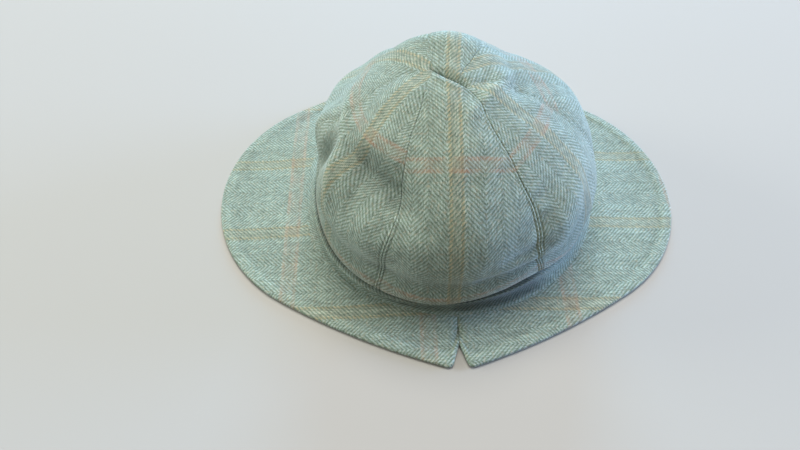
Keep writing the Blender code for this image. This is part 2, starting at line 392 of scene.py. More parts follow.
# The shade under the overhanging hem: middle and half width in degrees, and depth
HEM_SHADES = ((286.0, 27.0, 1.0), (263.0, 36.0, 0.55))
HEM_SHADE_SOFT = 1.8
HEM_SHADE = 2.0
# Painted shade darkens the tone at the foot and in hollows, and painted light lightens it on folds
FOOT_SHADOW = 0.75
FOOT_SHADOW_HEIGHT = 0.0008
FOLD_SHADING = 0.40
FOLD_SHADING_LIFT = 0.004
FOLD_DARKEST = -1.6
FOLD_LIGHTEST = 1.0
TUCK_SHADING = 1.6

PUFF_WIDTH = 0.03
MOST_CLEAR = 0.25
# Waves of the cloth: how many to the metre, height and seed
CROWN_WAVES = ((34.0, 0.0016, 1), (90.0, 0.0005, 2))
PEAK_WAVES = ((26.0, 0.0012, 3), (70.0, 0.00035, 4))
SEED_SHIFT = (7.3, 3.1, 5.7)


def seam_relief(away, climb):
    """How far the cloth stands out near a seam, at a distance from it and a length up the gore."""
    free = ease((climb - SEAM_FREE_FROM) / SEAM_FREE_OVER)
    groove = -SEAM_DEPTH * (SEAM_HELD + (1 - SEAM_HELD) * free) * np.exp(-away / SEAM_ROUND)
    ridge = SEAM_RIDGE * bell(away - SEAM_RIDGE_AWAY, SEAM_RIDGE_WIDTH)
    pull = 1 - STITCH_SWING + STITCH_SWING * np.cos(2 * math.pi * climb / STITCH_STEP)
    sewn = -STITCH_DEPTH * (1 - STITCH_EASES_BY * free) * pull * bell(away - STITCH_AWAY, STITCH_WIDTH)
    wave = np.sin(climb / PUCKER_STEP + PUCKER_DRIFT * np.sin(climb / PUCKER_DRIFT_STEP))
    pucker = PUCKER * wave * bell(away - PUCKER_AWAY, PUCKER_WIDTH)
    return groove + ridge + sewn + pucker


def hem_at(azimuth):
    """The columns of the table of the crown's foot at an azimuth."""
    places = np.degrees(azimuth) % 360
    return [through(places, CROWN_HEM[:, 0], values) for values in CROWN_HEM[:, 1:].T]


def hem_lifts(stands_out, tucked, climb):
    """How far the hem swells out, and how far the cloth above it is tucked in."""
    swell = stands_out * ease((HEM_SWELLS_TO - climb) / HEM_SWELLS_OVER)
    tuck = -HEM_TUCK * tucked * bell(climb - HEM_TUCK_HEIGHT, HEM_TUCK_WIDTH)
    return swell, tuck


def under_hem(azimuth):
    """How deep the shade is under the overhanging hem."""
    shades = []
    for middle, half_width, depth in HEM_SHADES:
        turn = (np.degrees(azimuth) - middle + 180) % 360 - 180
        shades.append(depth * ease((1 - np.abs(turn) / half_width) * HEM_SHADE_SOFT))
    return np.maximum(*shades)


def ripples(points, waves):
    """Low soft waves of the cloth, the same on each run."""
    total = 0.0
    flat = points.reshape(-1, 3)
    for scale, height, seed in waves:
        shift = Vector([seed * step for step in SEED_SHIFT])
        lifts = [noise.noise(Vector(point) * scale + shift) for point in flat]
        total = total + height * np.array(lifts).reshape(points.shape[:-1])
    return total


# The cloth of a gore lies flat along a meridian of the dome, in degrees. The gores that have
# none here follow their own middle.
WEAVE_MERIDIANS = {0: 27.0, 1: 84.0, 4: 268.6, 5: 330.0}
DOME_ROUND = (CLIMB[-1] - np.interp(WIDEST_RISE, RISES, CLIMB)) / (math.pi / 2)
TIP_CLOTH_RADIUS = 0.012
TIP_CLOTH_OVER = 0.030


def weave_about(meridian, azimuth, rise):
    """Where flat cloth laid along a meridian comes to lie: across it and up from the crown's foot."""
    turn = (azimuth - meridian + math.pi) % (2 * math.pi) - math.pi
    radius = profile(rise)[0]
    wide = ease((radius - TIP_CLOTH_RADIUS) / TIP_CLOTH_OVER)
    across = radius * (turn * wide + np.sin(turn) * (1 - wide))
    fall = (CLIMB[-1] - np.interp(rise, RISES, CLIMB)) / DOME_ROUND
    up = CLIMB[-1] - DOME_ROUND * np.arctan2(np.sin(fall) * np.cos(turn), np.cos(fall))
    return np.stack((across, up), axis=-1)


def crown_surface(number, rise, share):
    """Points of a gore's outside, the way out, its weave map, how much thicker it is and its painted
    light and shade.
    """
    radius = profile(rise)[0]
    first = seam_azimuth(number, rise)
    turn = seam_azimuth(number + 1, rise) - first
    clear = np.minimum(np.arcsin(SEAM_GAP / 2 / radius), turn * MOST_CLEAR)
    turn = turn - 2 * clear
    azimuth = first + clear + turn * share
    base, outward, own_azimuth, own_rise = crown_base(azimuth, rise)
    width = radius * turn
    away = np.minimum(share, 1 - share) * width
    shows = np.where(share < 0.5, SEAM_SHOWS[number], SEAM_SHOWS[(number + 1) % len(SEAM_SHOWS)])
    climb = np.interp(rise, RISES, CLIMB)
    puff = np.sin(math.pi * share) * np.sin(math.pi * (PUFF_AT_FOOT + (1 - PUFF_AT_FOOT) * rise))
    held = np.minimum(1.0, rise / FOLDS_FREE_FROM)
    near_tip = ease((SEAM_ENDS_AT - rise) / SEAM_ENDS_OVER) * ease(width / SEAM_ENDS_WIDTH)
    softened = 1 - SEAM_SOFTENS_BY * ease((rise - SEAM_SOFTENS_FROM) / SEAM_SOFTENS_OVER)
    relief = seam_relief(away, climb) * near_tip * shows * softened
    stands_out, drawn_up, tucked, _ = hem_at(azimuth)
    swell, tuck = hem_lifts(stands_out, tucked, climb)
    foot = -HEM_ROUND * np.exp(-climb / HEM_ROUND_HEIGHT)
    fine = held * fold_lift(base, FINE_FOLDS)
    broad = held * fold_lift(base, MAIN_FOLDS)
    lift = fine + broad + PANEL_PUFF * puff * ease(width / PUFF_WIDTH) + relief
    lift = lift + crease_lift(base)
    lift = lift + ripples(base, CROWN_WAVES) * held + swell + tuck + foot
    base = base + UP * (drawn_up * (1 - ease(climb / HEM_DRAWN)))[..., None]
    if number in WEAVE_MERIDIANS:
        weave = weave_about(math.radians(WEAVE_MERIDIANS[number]), own_azimuth, own_rise)
    else:
        weave = np.stack(((share - 0.5) * width, climb), axis=-1)
    # Painted shade in the seams' grooves, at the foot and in the hollows of folds and tucks; painted
    # light on the seams' ridges and raised folds
    fold_shading = np.clip((fine + TUCK_SHADING * tuck) / FOLD_SHADING_LIFT, FOLD_DARKEST, FOLD_LIGHTEST)
    tone = relief / SEAM_DEPTH - FOOT_SHADOW * np.exp(-climb / FOOT_SHADOW_HEIGHT)
    tone = tone + FOLD_SHADING * fold_shading
    thicker = np.minimum(0.0, relief) + np.maximum(0.0, swell + tuck)
    return base + outward * lift[..., None], outward, weave, thicker, tone


# Meshes
SHARP_ANGLE = math.radians(60)


def add_map(mesh, name, places):
    layer = mesh.uv_layers.new(name=name)
    layer.data.foreach_set("uv", places.astype(np.float32).reshape(-1))


def add_piece(name, mesh, material):
    mesh.shade_smooth()
    mesh.materials.append(material)
    return add_object(name, mesh)


def solid_grid(name, points, weave, tone, material, ring=False):
    """A closed solid from section loops.

    The weave map has one column more than the loops, and one row more on a ring.
    """
    rows, loop = points.shape[:2]
    bands = rows if ring else rows - 1
    r = np.arange(bands)[:, None]
    c = np.arange(loop)[None, :]
    corners = ((r, c), (r, c + 1), (r + 1, c + 1), (r + 1, c))
    faces = np.stack([(a % rows) * loop + b % loop for a, b in corners], axis=-1).reshape(-1, 4)
    cells = np.stack([a * (loop + 1) + b for a, b in corners], axis=-1).reshape(-1, 4)
    if not ring:
        half = loop // 2
        i = np.arange(half - 1)
        for row, flip in ((0, 1), (rows - 1, -1)):
            cap = np.stack([i, loop - 1 - i, loop - 2 - i, i + 1], axis=-1)[:, ::flip]
            faces = np.concatenate((faces, row * loop + cap))
            cells = np.concatenate((cells, row * (loop + 1) + cap))
    mesh = bpy.data.meshes.new(name)
    mesh.from_pydata(points.reshape(-1, 3).tolist(), [], faces.tolist())
    add_map(mesh, "Weave", weave.reshape(-1, 2)[cells.reshape(-1)])
    # The mesh carries its painted shade and light, and the lighter rubbed rims of the peaks, for the
    # material
    shade = mesh.attributes.new("PaintedShadeAndWear", "FLOAT", "POINT")
    shade.data.foreach_set("value", tone.reshape(-1).astype(np.float32))
    piece = add_piece(name, mesh, material)
    mesh.set_sharp_from_angle(angle=SHARP_ANGLE)
    return piece


def outward_faces(piece):
    work = bmesh.new()
    work.from_mesh(piece.data)
    bmesh.ops.recalc_face_normals(work, faces=work.faces)
    work.to_mesh(piece.data)
    work.free()


def finish_piece(piece, slot, *nodes):
    outward_faces(piece)
    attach(piece, "root")
    if nodes:
        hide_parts(*nodes)


# Gores
EDGE_COLUMNS = 10
EDGE_SHARE = 0.042
GORE_COLUMNS = 68
GORE_ROWS = 96
FOOT_ROWS = 5
FOOT_TO = 0.012
TIP_ROWS = 44
TIP_FROM = 0.84
GORE_WEAVE_SHIFT = np.array((0.0, -0.003))


def make_gore(number, material):
    """One gore of the crown: a wall of cloth, its seams turned in, swollen between them and folded."""
    edge = np.linspace(0.0, EDGE_SHARE, EDGE_COLUMNS)
    middle = np.linspace(EDGE_SHARE, 1 - EDGE_SHARE, GORE_COLUMNS)
    share = np.concatenate((edge[:-1], middle, 1 - edge[-2::-1]))
    foot = np.linspace(0.0, FOOT_TO, FOOT_ROWS)[:-1]
    body = np.linspace(FOOT_TO, TIP_FROM, GORE_ROWS)[:-1]
    rise = np.concatenate((foot, body, np.linspace(TIP_FROM, 1.0, TIP_ROWS)))
    rise, share = np.meshgrid(rise, share, indexing="ij")
    outside, outward, weave, thicker, tone = crown_surface(number, rise, share)
    inside = outside - outward * (CLOTH + thicker)[..., None]
    points = np.concatenate((outside, inside[:, ::-1]), axis=1)
    weave = np.concatenate((weave, weave[:, ::-1], weave[:, :1]), axis=1) + GORE_WEAVE_SHIFT
    tone = np.concatenate((tone, np.zeros_like(tone)), axis=1)
    piece = solid_grid(f"crown_gore_{number + 1}", points, weave, tone, material)
    finish_piece(piece, "crown_tweed", f"crown_panel_{number + 1}")
    return piece


# Peaks
NOTCH_STEPS = 12
CORNER_STEPS = 8
SIDE_STEPS = 70
NOSE_STEPS = 56
TOP_ROWS = 44
ROWS_BY_BAND = (0.006, 0.014)
UNDER_ROWS = 10
RIM_STEPS = 9
PEAK_WEAVE_SHIFTS = {1: np.array((0.0325, -0.0752)), -1: np.array((0.0302, 0.1105))}
# Raised and sunk parts of the top: the roll at the band, the slit inward of each notch, and the edge's
# ridge
ROLL_AT_BAND = 0.0010
ROLL_AT_BAND_WIDTH = 0.0045
SLIT_DEPTH = 0.0003
SLIT_WIDTH = 0.0006
SLITS_BEYOND = 0.1
EDGE_RIDGE = 0.00035
EDGE_RIDGE_AWAY = 0.004
EDGE_RIDGE_WIDTH = 0.0022
EDGE_GROOVE = 0.0002
EDGE_GROOVE_AWAY = 0.0085
EDGE_GROOVE_WIDTH = 0.003
WAVES_FROM_RIM = 0.02
WAVES_FROM_BAND = 0.012
# The top's tone: painted shade in the slit and the edge's groove, painted light on the edge's ridge, and
# painted shade by the band under the overhanging hem; the rim is lighter where it is rubbed
RELIEF_TONE = 0.0010
RIM_TONE = 0.35
SHADE_BY_BAND = 0.30
SHADE_BY_BAND_WIDTH = 0.0034


def arc_from(start, heading, end, steps):
    """Points after start on the arc that leaves it along heading and passes through end."""
    chord = end - start
    turn = 2 * heading.angle_signed(chord)
    points = []
    for step in range(1, steps + 1):
        share = step / steps
        swing = turn * share / 2
        reach = chord.length * math.sin(swing) / math.sin(turn / 2)
        away = heading.normalized()
        away.rotate(Matrix.Rotation(-swing, 2))
        points.append(start + away * reach)
    return points


def side_edge(corner, steps):
    middle = Vector((BAND_FOOT_RADIUS + PEAK_LENGTH - NOSE_RADIUS, 0.0))
    start = middle + NOSE_RADIUS * Vector((math.cos(NOSE_TURN), math.sin(NOSE_TURN)))
    heading = Vector((-math.sin(NOSE_TURN), math.cos(NOSE_TURN)))
    return start, arc_from(start, heading, corner, steps)


def quarter_edge():
    """A quarter of a peak's edge from above, from the foot of the notch to the tip of the nose."""
    reach = BAND_FOOT_RADIUS + PEAK_SIDE_WIDTH
    foot = Vector((SEAM_GAP / 2, reach - NOTCH_DEPTH))
    corner = Vector((NOTCH_MOUTH / 2, reach))
    side = side_edge(corner, SIDE_STEPS)[1]
    up = (foot - corner).normalized()
    along = (side[-2] - corner).normalized()
    half_angle = up.angle(along) / 2
    tangent = NOTCH_CORNER_RADIUS / math.tan(half_angle)
    middle = corner + (up + along).normalized() * NOTCH_CORNER_RADIUS / math.sin(half_angle)
    first = corner + up * tangent
    last = corner + along * tangent
    edge = [foot.lerp(first, step / NOTCH_STEPS) for step in range(NOTCH_STEPS + 1)]
    begin = math.atan2(*(first - middle).yx)
    sweep = (first - middle).angle_signed(last - middle)
    for step in range(1, CORNER_STEPS + 1):
        angle = begin - sweep * step / CORNER_STEPS
        edge.append(middle + NOTCH_CORNER_RADIUS * Vector((math.cos(angle), math.sin(angle))))
    nose_end, side = side_edge(last, SIDE_STEPS)
    edge += list(reversed(side[:-1])) + [nose_end]
    nose = BAND_FOOT_RADIUS + PEAK_LENGTH - NOSE_RADIUS
    for step in range(1, NOSE_STEPS + 1):
        angle = NOSE_TURN * (1 - step / NOSE_STEPS)
        edge.append(Vector((nose + NOSE_RADIUS * math.cos(angle), NOSE_RADIUS * math.sin(angle))))
    return edge


def arch(row):
    return PEAK_ARCH * (1 - ease(row / FLAT_ROW))


def peak_plan():
    """A peak's inner line and rim from above, and the reach of its turned edge beyond the rim."""
    quarter = quarter_edge()
    edge = quarter + [Vector((p.x, -p.y)) for p in reversed(quarter[:-1])]
    edge = np.array([(p.x, p.y, 0.0) for p in edge])
    last = len(edge) - 1
    index = np.arange(last + 1)
    along = edge[np.minimum(index + 1, last)] - edge[np.maximum(index - 1, 0)]
    outward = unit(np.stack((-along[:, 1], along[:, 0], 0 * index), axis=-1))
    from_end = np.minimum(index, last - index)
    rounding = (PEAK_THICKNESS / 2 * np.minimum(1.0, from_end / NOTCH_STEPS))[:, None]
    inner_radius = BAND_FOOT_RADIUS + SEAM_GAP
    inner = unit(edge) * inner_radius
    for end in (0, last):
        inner[end, 0] = edge[end, 0]
        inner[end, 1] = math.copysign(math.sqrt(inner_radius**2 - edge[end, 0] ** 2), edge[end, 1])
    return inner, edge - outward * rounding, outward * rounding


def peak_relief(top, from_rim, from_band):
    """How far a peak's top is lifted off its plain arch, and its painted light and shade."""
    from_slit = np.abs(top[..., 0]) + np.where(np.abs(top[..., 1]) < SLITS_BEYOND, 1.0, 0.0)
    roll = ROLL_AT_BAND * np.exp(-from_band / ROLL_AT_BAND_WIDTH)
    slit = -SLIT_DEPTH * np.exp(-from_slit / SLIT_WIDTH)
    ridge = EDGE_RIDGE * bell(from_rim - EDGE_RIDGE_AWAY, EDGE_RIDGE_WIDTH)
    ridge = ridge - EDGE_GROOVE * bell(from_rim - EDGE_GROOVE_AWAY, EDGE_GROOVE_WIDTH)
    wave = ripples(top, PEAK_WAVES) * ease(from_rim / WAVES_FROM_RIM) * ease(from_band / WAVES_FROM_BAND)
    shade = under_hem(np.arctan2(top[..., 1], top[..., 0])) * bell(from_band, SHADE_BY_BAND_WIDTH)
    tone = slit / RELIEF_TONE + ridge / RELIEF_TONE - SHADE_BY_BAND * shade
    return roll + slit + ridge + wave, tone


def make_peak(name, facing, material, node):
    """A crescent peak with a turned edge, towards +X, or towards -X where facing is -1."""
    inner, rim, turned = peak_plan()
    half = PEAK_THICKNESS / 2
    top_rows = np.linspace(0.0, 1.0, TOP_ROWS)
    top_rows = np.concatenate((top_rows[:1], ROWS_BY_BAND, top_rows[1:]))[::-1]
    under_rows = np.linspace(0.0, 1.0, UNDER_ROWS)
    section = [inner + (rim - inner) * row + UP * arch(row) for row in under_rows]
    for angle in np.linspace(-math.pi / 2, math.pi / 2, RIM_STEPS + 2)[1:-1]:
        section.append(rim + turned * math.cos(angle) + UP * (half + half * math.sin(angle)))
    for row in top_rows:
        section.append(inner + (rim - inner) * row + UP * (arch(row) + PEAK_THICKNESS))
    points = np.stack(section, axis=1) * np.array((facing, facing, 1.0))
    first = UNDER_ROWS + RIM_STEPS
    top = points[:, first:]
    width = np.linalg.norm(rim - inner, axis=1)[:, None]
    lift, top_tone = peak_relief(top, (1 - top_rows)[None, :] * width, top_rows[None, :] * width)
    top[..., 2] += lift
    # Painted light and shade on the top, and the lighter rubbed rim
    tone = np.zeros(points.shape[:2])
    tone[:, first:] = top_tone
    tone[:, UNDER_ROWS:first] = RIM_TONE
    flat = np.stack((-points[..., 1], points[..., 0]), axis=-1)
    weave = np.concatenate((flat, flat[:, :1]), axis=1) + PEAK_WEAVE_SHIFTS[facing]
    piece = solid_grid(name, points, weave, tone, material)
    finish_piece(piece, "peak_tweed", node)
    return piece


# Band
BAND_COLUMNS = 300
BAND_ROWS = 17
BAND_LAP = 0.0010
BAND_BEND = 0.0008
BAND_TURNED_IN = 0.0012
BAND_WEAVE_SHIFT = 0.012
# The hollow over the peaks is deepest at one azimuth, in degrees, and fades away from it
HOLLOW_DEPTH = 0.0030
HOLLOW_TO = 0.86
HOLLOW_SKEW = 0.8
HOLLOW_AZIMUTH = 240
HOLLOW_LEAST = 0.15
HOLLOW_FADE = 0.35
# The roll along the top edge, at a share of the way up
ROLL_HEIGHT = 0.0012
ROLL_AT = 0.90
ROLL_WIDTH = 0.07
ROLL_TURNS_BY = 0.0010
ROLL_TURNS_FROM = 0.94
ROLL_TURNS_OVER = 0.06
# How the band's painted light follows its roll, and its painted shade its hollow, the gap on top and the
# overhanging hem
ROLL_TONE = 0.0030
HOLLOW_TONE = 0.0150
GAP_FROM = 0.96
GAP_OVER = 0.04
SHADE_FROM = -0.02
SHADE_OVER = 0.24


def band_slope(azimuth):
    """The foot and the top of the band's outside, and the way out of it."""
    bend = polar(BAND_FOOT_RADIUS + BAND_LAP, azimuth, BRIM_TOP + BAND_BEND)
    _, drawn_up, _, band_out = hem_at(azimuth)
    top = FOOT_SHIFT + polar(CROWN_SEAM_RADIUS + band_out, azimuth, BAND_TOP + drawn_up)
    inward = -polar(1.0, azimuth, 0.0)
    rise_way = unit(top - bend)
    return bend, top, -unit(np.cross(np.cross(rise_way, inward), rise_way))


def make_band(material):
    """The low band: its foot meets the peaks in a soft hollow, and its top edge is a thin roll."""
    azimuth = 2 * math.pi * np.arange(BAND_COLUMNS) / BAND_COLUMNS
    foot = polar(BAND_FOOT_RADIUS, azimuth, PEAK_ARCH)
    inward = -polar(1.0, azimuth, 0.0)
    bend, top, out = band_slope(azimuth)
    shares = np.linspace(0.0, 1.0, BAND_ROWS)
    hollow = -HOLLOW_DEPTH * np.sin(math.pi * np.clip(shares / HOLLOW_TO, 0, 1) ** HOLLOW_SKEW)
    roll = ROLL_HEIGHT * bell(shares - ROLL_AT, ROLL_WIDTH)
    roll = roll - ROLL_TURNS_BY * ease((shares - ROLL_TURNS_FROM) / ROLL_TURNS_OVER)
    facing = 0.5 + 0.5 * np.cos(azimuth - math.radians(HOLLOW_AZIMUTH))
    hollowed = HOLLOW_LEAST + (1 - HOLLOW_LEAST) * ease((facing - HOLLOW_FADE) / HOLLOW_FADE)[:, None]
    stands_out, _, _, band_out = hem_at(azimuth)
    turned_in = (BAND_TURNED_IN + np.maximum(0.0, band_out - stands_out))[:, None]
    outside = [foot]
    inside = [foot + inward * CLOTH]
    for share, sink, lift in zip(shares, hollow, roll):
        level = bend + (top - bend) * share
        outside.append(level + out * (sink * hollowed + lift))
        inside.append(level + out * (sink * hollowed - CLOTH - turned_in * share**4))
    outside = np.stack(outside, axis=1)
    inside = np.stack(inside, axis=1)
    points = np.concatenate((outside, inside[:, ::-1]), axis=1)
    steps = np.linalg.norm(np.diff(points, axis=1, append=points[:, :1]), axis=2).mean(axis=0)
    climb = np.concatenate(([0.0], np.cumsum(steps)))
    around = 2 * math.pi * BAND_FOOT_RADIUS * np.arange(BAND_COLUMNS + 1) / BAND_COLUMNS
    v, u = np.meshgrid(around, climb, indexing="ij")
    weave = np.stack((u + BAND_WEAVE_SHIFT, v), axis=-1)
    # Painted light on the roll; painted shade in the hollow, at the gap under the crown and under the
    # overhanging hem
    tone = np.zeros(points.shape[:2])
    shade = under_hem(azimuth)[:, None]
    gap = -FOOT_SHADOW * ease((shares - GAP_FROM) / GAP_OVER)
    seen = slice(1, BAND_ROWS + 1)
    tone[:, seen] = (roll / ROLL_TONE + hollow / HOLLOW_TONE + gap) * (1 - shade)
    tone[:, seen] -= HEM_SHADE * shade * ease((shares - SHADE_FROM) / SHADE_OVER)
    piece = solid_grid("hat_band", points, weave, tone, material, ring=True)
    finish_piece(piece, "band_tweed", "band")
    return piece


# Stitching: short round stitches that swell and rise from their ends to their middle
THREAD_RADIUS = 0.00024
THREAD_SIDES = 6
STITCH_LENGTH = 0.0021
STATIONS = (0.0, 0.1, 0.3, 0.5, 0.7, 0.9, 1.0)
STATION_SIZES = (0.25, 0.7, 0.95, 1.0, 0.95, 0.7, 0.25)
STATION_HEIGHTS = (-0.9, -0.35, 0.1, 0.2, 0.1, -0.35, -0.9)
# Each stitch has a square cell of its map: its side below, and its two ends above it
CELL_MARGIN = np.array((0.1, 0.05))
CELL_SIDE = np.array((0.8, 0.6))
CELL_END_RADIUS = 0.1
CELL_END_HEIGHT = 0.82
CELL_ENDS = ((0.24, -1), (0.67, 1))
# The rows on the crown begin above its foot and stop under the crease or the tip
ROW_FROM = 0.002
ROW_TO = 0.93
ROW_UNDER_CREASE = 0.03
HEM_ROW_OUT = 0.0011


def stitch_points(starts, ends, outs):
    """Capsules from the starts to the ends, each half sunk in the cloth."""
    axis = unit(ends - starts)
    side = unit(np.cross(outs, axis))
    up = np.cross(axis, side)
    length = np.linalg.norm(ends - starts, axis=1)[:, None]
    rings = []
    for station, size, height in zip(STATIONS, STATION_SIZES, STATION_HEIGHTS):
        middle = starts + axis * length * station + outs * THREAD_RADIUS * height
        for k in range(THREAD_SIDES):
            angle = 2 * math.pi * k / THREAD_SIDES
            rings.append(middle + (side * math.cos(angle) + up * math.sin(angle)) * THREAD_RADIUS * size)
    return np.stack(rings, axis=1)


def make_stitches(name, starts, ends, outs, material, slot):
    points = stitch_points(starts, ends, outs)
    count, per = points.shape[:2]
    faces = []
    coords = []
    s = THREAD_SIDES
    last = len(STATIONS) - 1
    for station in range(last):
        for k in range(s):
            a = station * s + k
            b = station * s + (k + 1) % s
            faces.append((a, b, b + s, a + s))
            coords.append(((station, k), (station, k + 1), (station + 1, k + 1), (station + 1, k)))
    faces = np.array(faces)
    coords = np.array(coords, dtype=float)
    all_faces = (np.arange(count)[:, None, None] * per + faces[None]).reshape(-1, 4)
    caps = []
    for item in range(count):
        caps.append([item * per + k for k in reversed(range(s))])
        caps.append([item * per + last * s + k for k in range(s)])
    mesh = bpy.data.meshes.new(name)
    mesh.from_pydata(points.reshape(-1, 3).tolist(), [], all_faces.tolist() + caps)
    cells = math.ceil(math.sqrt(count))
    cell = np.stack((np.arange(count) % cells, np.arange(count) // cells), axis=-1)[:, None, None, :]
    inside = coords[None] / np.array((last, s)) * CELL_SIDE + CELL_MARGIN
    spots = ((cell + inside) / cells).reshape(-1, 2)
    caps_at = []
    for item in range(count):
        for middle, way in CELL_ENDS:
            for k in range(s):
                angle = 2 * math.pi * k / s * way
                x = middle + CELL_END_RADIUS * math.cos(angle)
                y = CELL_END_HEIGHT + CELL_END_RADIUS * math.sin(angle)
                caps_at.append((cell[item, 0, 0] + np.array((x, y))) / cells)
    add_map(mesh, "OFBake", np.concatenate((spots, np.array(caps_at))))
    piece = add_piece(name, mesh, material)
    finish_piece(piece, slot)
    return piece


def gore_point(number, climb, away):
    """A point of a gore's outside and the way out, at a length up it and a distance from its seam.

    A distance below zero is taken from the next seam.
    """
    rise = np.interp(climb, CLIMB, RISES)
    turn = seam_azimuth(number + 1, rise) - seam_azimuth(number, rise)
    share = away / (profile(rise)[0] * turn)
    share = np.where(away < 0, 1 + share, share)
    return crown_surface(number, rise, share)[:2]


def make_crown_stitches(material):
    """A row either side of each seam of the crown."""
    starts = []
    ends = []
    outs = []
    tops = {seam: joins - ROW_UNDER_CREASE for seam, joins, _ in SEAMS_IN_CREASE}
    for seam in range(len(CROWN_SEAMS)):
        climb = np.arange(ROW_FROM, np.interp(tops.get(seam, ROW_TO), RISES, CLIMB), STITCH_STEP)
        for gore, away in ((seam, STITCH_AWAY), ((seam - 1) % len(CROWN_SEAMS), -STITCH_AWAY)):
            away_at = np.full(climb.shape, away)
            one, out = gore_point(gore, climb, away_at)
            starts.append(one)
            ends.append(gore_point(gore, climb + STITCH_LENGTH, away_at)[0])
            outs.append(out)
    rows = [np.concatenate(part) for part in (starts, ends, outs)]
    make_stitches("crown_topstitch", *rows, material, "crown_tweed")


def make_hem_stitches(material):
    """One row along the roll at the top of the band."""
    around = 2 * math.pi * CROWN_SEAM_RADIUS
    count = int(around / STITCH_STEP)
    azimuth = 2 * math.pi * np.arange(count) / count

    def spot(angle):
        bend, top, out = band_slope(angle)
        return bend + (top - bend) * ROLL_AT + out * HEM_ROW_OUT, out

    one, out = spot(azimuth)
    other = spot(azimuth + STITCH_LENGTH / CROWN_SEAM_RADIUS)[0]
    return make_stitches("band_topstitch", one, other, out, material, "band_tweed")


# Materials: sizes of the weave and its overcheck
YARN = 0.000675
TWILL = 4
COLUMN = 0.0108
WARP_CHECK = 6 * COLUMN
WEFT_CHECK = 0.0915
WARP_STRIPE = 0.0010
WEFT_STRIPE = 0.0012
SLUB_SCALE = 150.0
SLUB_NUDGE = 0.0014
FUZZ_SCALE = 1500.0
FLECK_SCALE = 900.0
WARM_SCALE = 520.0
WARM_FROM = 0.52
WARM_TO = 0.72
BREAK_SCALE = 90.0
CLOUD_SCALE = 28.0
CLOTH_BUMP = 0.0003
THREAD_BUMP = 0.0001
THREAD_LAY_SCALE = 900.0
THREAD_FLECK_SCALE = 700.0
# Colours of the two yarns, of the overcheck, and of the warm flecks
PALE = (0.290, 0.364, 0.326, 1.0)
DARK = (0.140, 0.196, 0.146, 1.0)
OCHRE = (0.38, 0.295, 0.14, 1.0)
RUST = (0.43, 0.185, 0.10, 1.0)
BROWN = (0.26, 0.17, 0.09, 1.0)
WARM = (0.40, 0.33, 0.22, 1.0)
SHEEN = (0.86, 0.95, 0.92, 1.0)
THREAD_DARK = (0.12, 0.16, 0.12, 1.0)
THREAD_PALE = (0.25, 0.31, 0.24, 1.0)
FLOOR_COLOR = (0.38, 0.37, 0.345, 1.0)
# How much of its colour each part of the overcheck lays on the yarn
OCHRE_LINE = 0.60
OCHRE_FIELD = 0.22
RUST_FIELD = 0.40
RUST_ON_WARP = 0.45
BROWN_CROSSING = 0.14
RUST_BREAKS = 2.2
WARM_FLECKS = 0.40
# How far the edge between the yarns sways, and how soft it is
FUZZ_SWAY = 0.9
STITCH_SWAY = 0.4
YARN_EDGE = 0.28
# How far the cloth's lightness sways from yarn to yarn, stitch to stitch and in patches, and how far the
# painted shade and light and the rubbed rims carried by the mesh change it
YARN_LIGHT = 0.26
STITCH_LIGHT = 0.36
FLECK_LIGHT = 0.5
CLOUD_LIGHT = 0.24
SHADE_AND_WEAR_LIGHT = 0.35
CLOTH_ROUGH = 0.90
FLECK_ROUGH = 0.12
FLECK_BUMP = 0.5


class Graph:
    """Short calls for building a node tree."""

    def __init__(self, tree):
        self.tree = tree

    def node(self, kind, inputs=(), **settings):
        item = self.tree.nodes.new(kind)
        for key, value in settings.items():
            setattr(item, key, value)
        for key, value in dict(inputs).items():
            self.feed(item.inputs[key], value)
        return item

    def feed(self, socket, value):
        if isinstance(value, bpy.types.NodeSocket):
            self.tree.links.new(value, socket)
        else:
            socket.default_value = value

    def math(self, operation, *values):
        item = self.tree.nodes.new("ShaderNodeMath")
        item.operation = operation
        for socket, value in zip(item.inputs, values):
            self.feed(socket, value)
        return item.outputs[0]

    def vector(self, operation, inputs):
        return self.node("ShaderNodeVectorMath", inputs, operation=operation).outputs[0]

    def mix(self, share, one, other, blend="MIX"):
        item = self.tree.nodes.new("ShaderNodeMix")
        item.data_type = "RGBA"
        item.blend_type = blend
        self.feed(item.inputs["Factor"], share)
        self.feed(item.inputs["A"], one)
        self.feed(item.inputs["B"], other)
        return item.outputs["Result"]

    def noise(self, vector, scale, detail=2.0, output="Fac"):
        item = self.node("ShaderNodeTexNoise", {"Vector": vector, "Scale": scale, "Detail": detail})
        return item.outputs[output]

    def chance(self, dimensions, inputs):
        item = self.node("ShaderNodeTexWhiteNoise", inputs, noise_dimensions=dimensions)
        return item.outputs["Value"]

    def stretch(self, value, low, high, kind="LINEAR"):
        """Nothing at the low value, one at the high one."""
        ends = {"Value": value, "From Min": low, "From Max": high}
        return self.node("ShaderNodeMapRange", ends, interpolation_type=kind).outputs["Result"]

    def sway(self, value, spread, middle=1.0):
        """A value from 0 to 1 as one that lies either side of a middle."""
        return self.math("MULTIPLY_ADD", value, spread, middle - spread / 2)


def new_material(name):
    material = bpy.data.materials.new(name)
    material.use_nodes = True
    return material, material.node_tree.nodes["Principled BSDF"]


def stripe_pair(g, place, spacing, half_pair, half_width):
    """Two soft lines either side of every whole spacing, and the field between them."""
    turn = g.math("ROUND", g.math("DIVIDE", place, spacing))
    away = g.math("ABSOLUTE", g.math("SUBTRACT", place, g.math("MULTIPLY", turn, spacing)))
    off_line = g.math("ABSOLUTE", g.math("SUBTRACT", away, half_pair))
    line = g.stretch(off_line, half_width * 1.5, half_width * 0.5, "SMOOTHSTEP")
    return line, g.math("LESS_THAN", away, half_pair)


